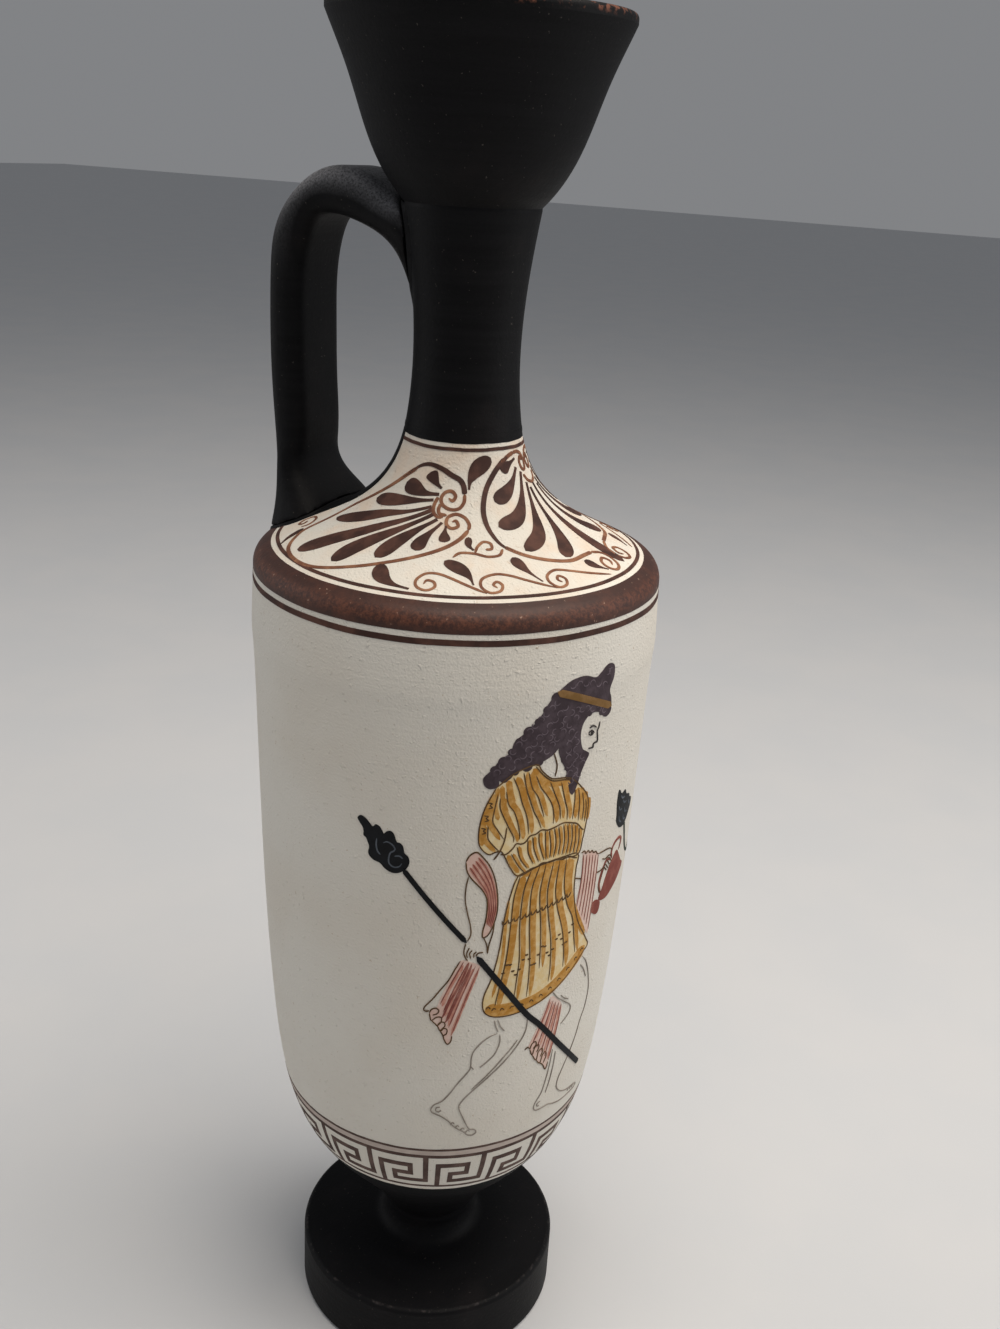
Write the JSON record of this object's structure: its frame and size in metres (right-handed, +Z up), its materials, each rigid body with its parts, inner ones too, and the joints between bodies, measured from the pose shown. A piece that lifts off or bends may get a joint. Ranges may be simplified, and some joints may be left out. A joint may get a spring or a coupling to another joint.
{
  "type": "lekythos",
  "caption": "Tall ceramic oil flask: disc foot, long body, sloping shoulder, slim neck, funnel mouth and a strap handle, painted with a striding figure on a pale ground.",
  "frame": {"origin": "centre of the resting ring under the foot, on the surface that the vase stands on", "axes": "+Z up along the vase's axis, +Y towards the handle, +X to the side, with the painted figure facing -X and -Y"},
  "size_m": [0.0864, 0.0871, 0.3],
  "materials": {
    "white_ground": "matt ivory slip over fired clay, with fine brush-painted ornament",
    "black_slip": "matt black slip with a slight sheen, worn at the edges",
    "luting_slip": "fired clay slip in the joints, painted over where it reaches the surface"
  },
  "bodies": {
    "root": {"foot": "black_slip", "body": "white_ground", "shoulder": "white_ground", "neck": "black_slip", "mouth": "black_slip", "handle": "black_slip", "foot_slip": "luting_slip", "shoulder_slip": "luting_slip", "neck_slip": "luting_slip", "mouth_slip": "luting_slip", "handle_top_slip": "luting_slip", "handle_root_slip": "luting_slip"}
  },
  "joints": []
}
